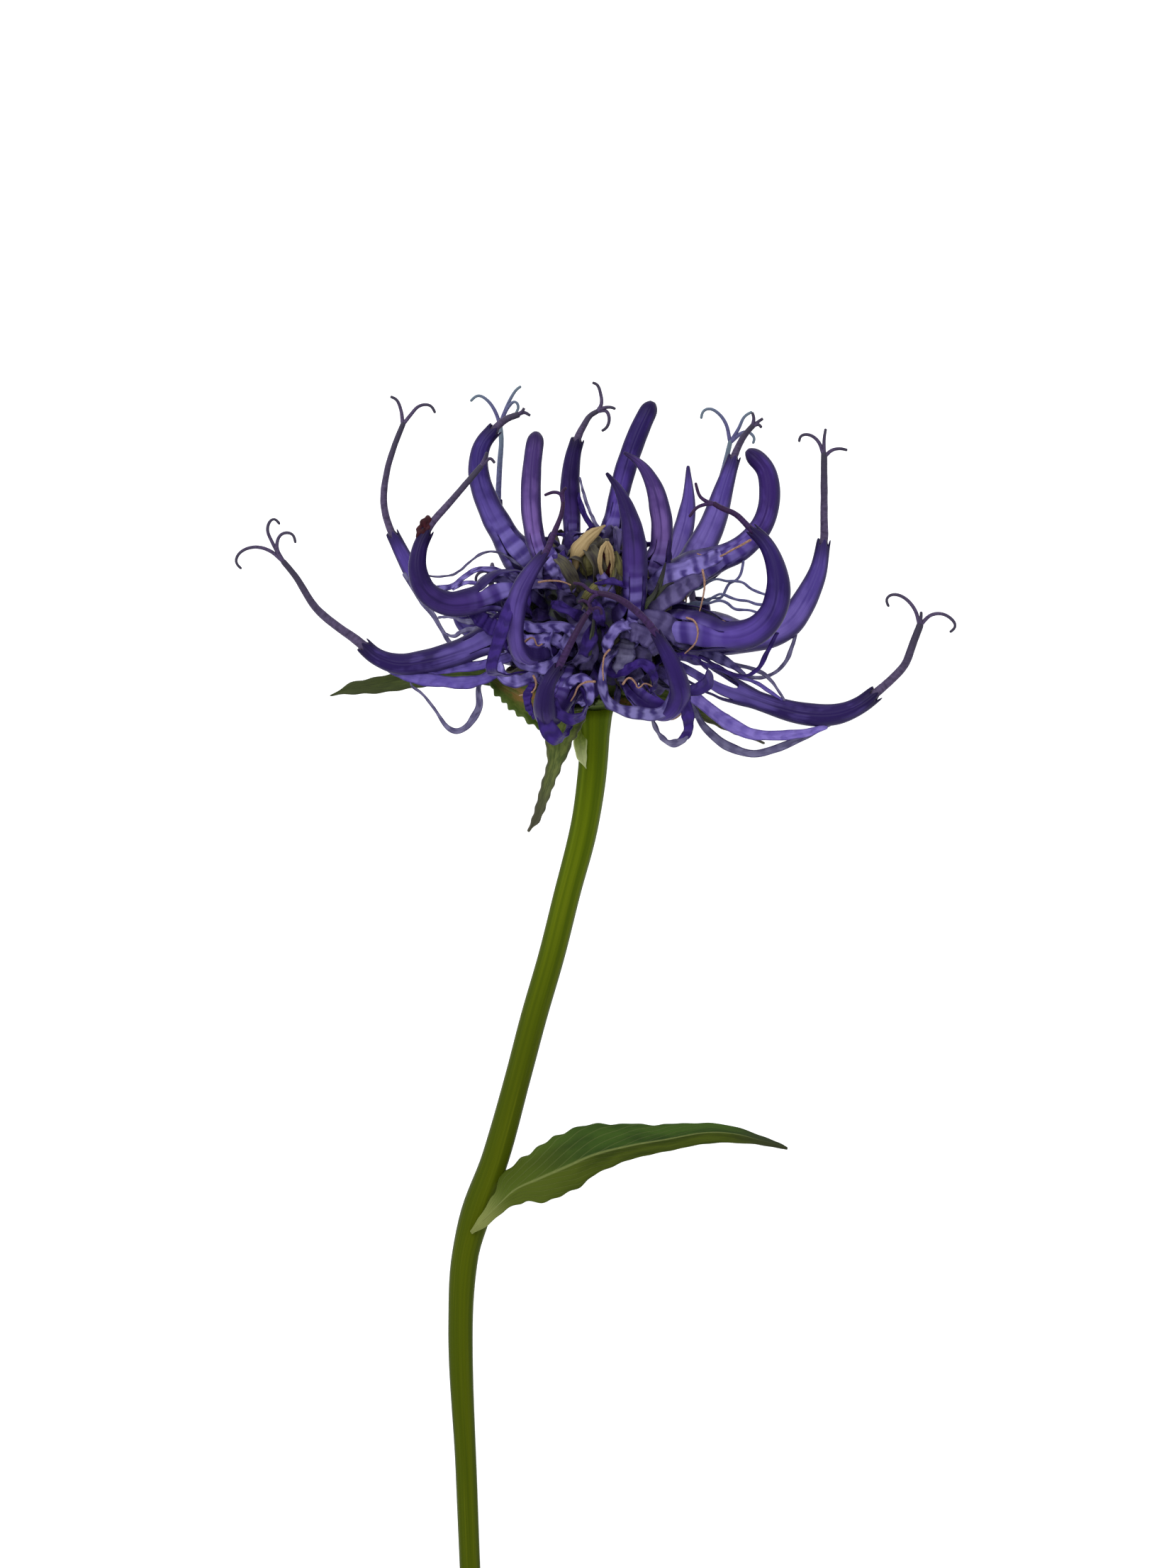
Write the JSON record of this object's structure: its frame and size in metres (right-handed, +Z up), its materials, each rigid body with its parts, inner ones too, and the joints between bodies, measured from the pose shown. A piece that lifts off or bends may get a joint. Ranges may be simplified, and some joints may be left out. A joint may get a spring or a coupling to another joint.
{
  "type": "round-headed rampion flower",
  "caption": "Cut flower on a thin curved stem: a round head of curved violet horn-shaped florets with forked styles, green bracts below and a narrow leaf on the stem.",
  "frame": {"origin": "on the surface that the cut flower lies on, at the flat spot under the middle of its head", "axes": "+Z up from the surface; +Y from the cut stem to the crown of the head; +X to the side that the stem leaf points to"},
  "size_m": [0.0453, 0.0865, 0.0205],
  "materials": {
    "corolla": "soft satin petal skin, violet blue with darker tips and fine lengthwise lines",
    "bract": "matte green leaf skin with darker toothed margins and purple brown tips",
    "stem": "smooth satin olive green skin with fine lengthwise ridges",
    "leaf": "satin leaf skin, dark green above the midrib and yellow green below",
    "style": "matte grey purple, slightly downy",
    "dry_flower": "matte straw-coloured dry petals and stamens",
    "calyx": "matte dark green calyx teeth"
  },
  "bodies": {
    "root": {"flower_head": "corolla", "involucre": "bract", "stem": "stem", "stem_leaf": "leaf"}
  },
  "joints": []
}
